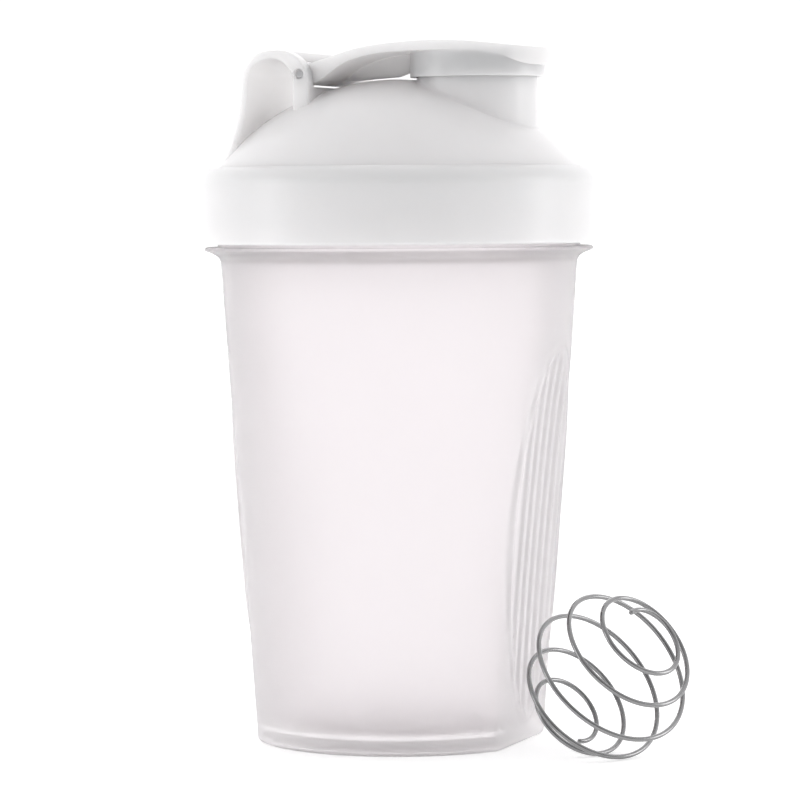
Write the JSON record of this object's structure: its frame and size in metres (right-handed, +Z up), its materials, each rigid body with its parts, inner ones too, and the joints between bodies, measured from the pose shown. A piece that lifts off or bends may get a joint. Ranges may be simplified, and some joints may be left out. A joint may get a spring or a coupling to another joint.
{
  "type": "shaker bottle",
  "caption": "Tapered translucent shaker cup with ribbed grips, a screw lid with a spout, carry loop and hinged flip cap, and a loose spiral wire whisk ball.",
  "frame": {"origin": "centre of the cup's base, on the surface the bottle stands on", "axes": "+Z up along the bottle's axis, +X from the carry loop to the spout"},
  "size_m": [0.1205, 0.0924, 0.1613],
  "materials": {
    "cup_plastic": "frosted, see-through natural polypropylene",
    "lid_plastic": "satin white polypropylene",
    "silicone": "soft matt",
    "pin_steel": "drawn bar",
    "wire_steel": "polished stainless wire"
  },
  "bodies": {
    "cup": {"cup": "cup_plastic"},
    "seal": {"lid_seal": "silicone"},
    "lid": {"lid": "lid_plastic", "hinge_pin": "pin_steel"},
    "cap": {"flip_cap": "lid_plastic"},
    "ball": {"whisk_ball": "wire_steel"}
  },
  "joints": [
    {"name": "lid_lift", "type": "slide", "parent": "cup", "child": "seal", "axis": [0, 0, 1], "range_m": [0, 0.027]},
    {"name": "lid_turn", "type": "hinge", "parent": "seal", "child": "lid", "pos_m": [0, 0, 0.122], "axis": [0, 0, 1], "range_deg": [0, 1080]},
    {"name": "cap_hinge", "type": "hinge", "parent": "lid", "child": "cap", "pos_m": [-0.0169, 0, 0.154], "axis": [0, -1, 0], "range_deg": [0, 100]},
    {"name": "ball_lift", "type": "slide", "parent": "cup", "child": "ball", "axis": [0.4735, -0.162, 0.8658], "range_m": [0, 0.15]}
  ],
  "couplings": [
    {"joint": "lid_lift", "follows": "lid_turn", "m_per_rad": 0.0014324}
  ]
}
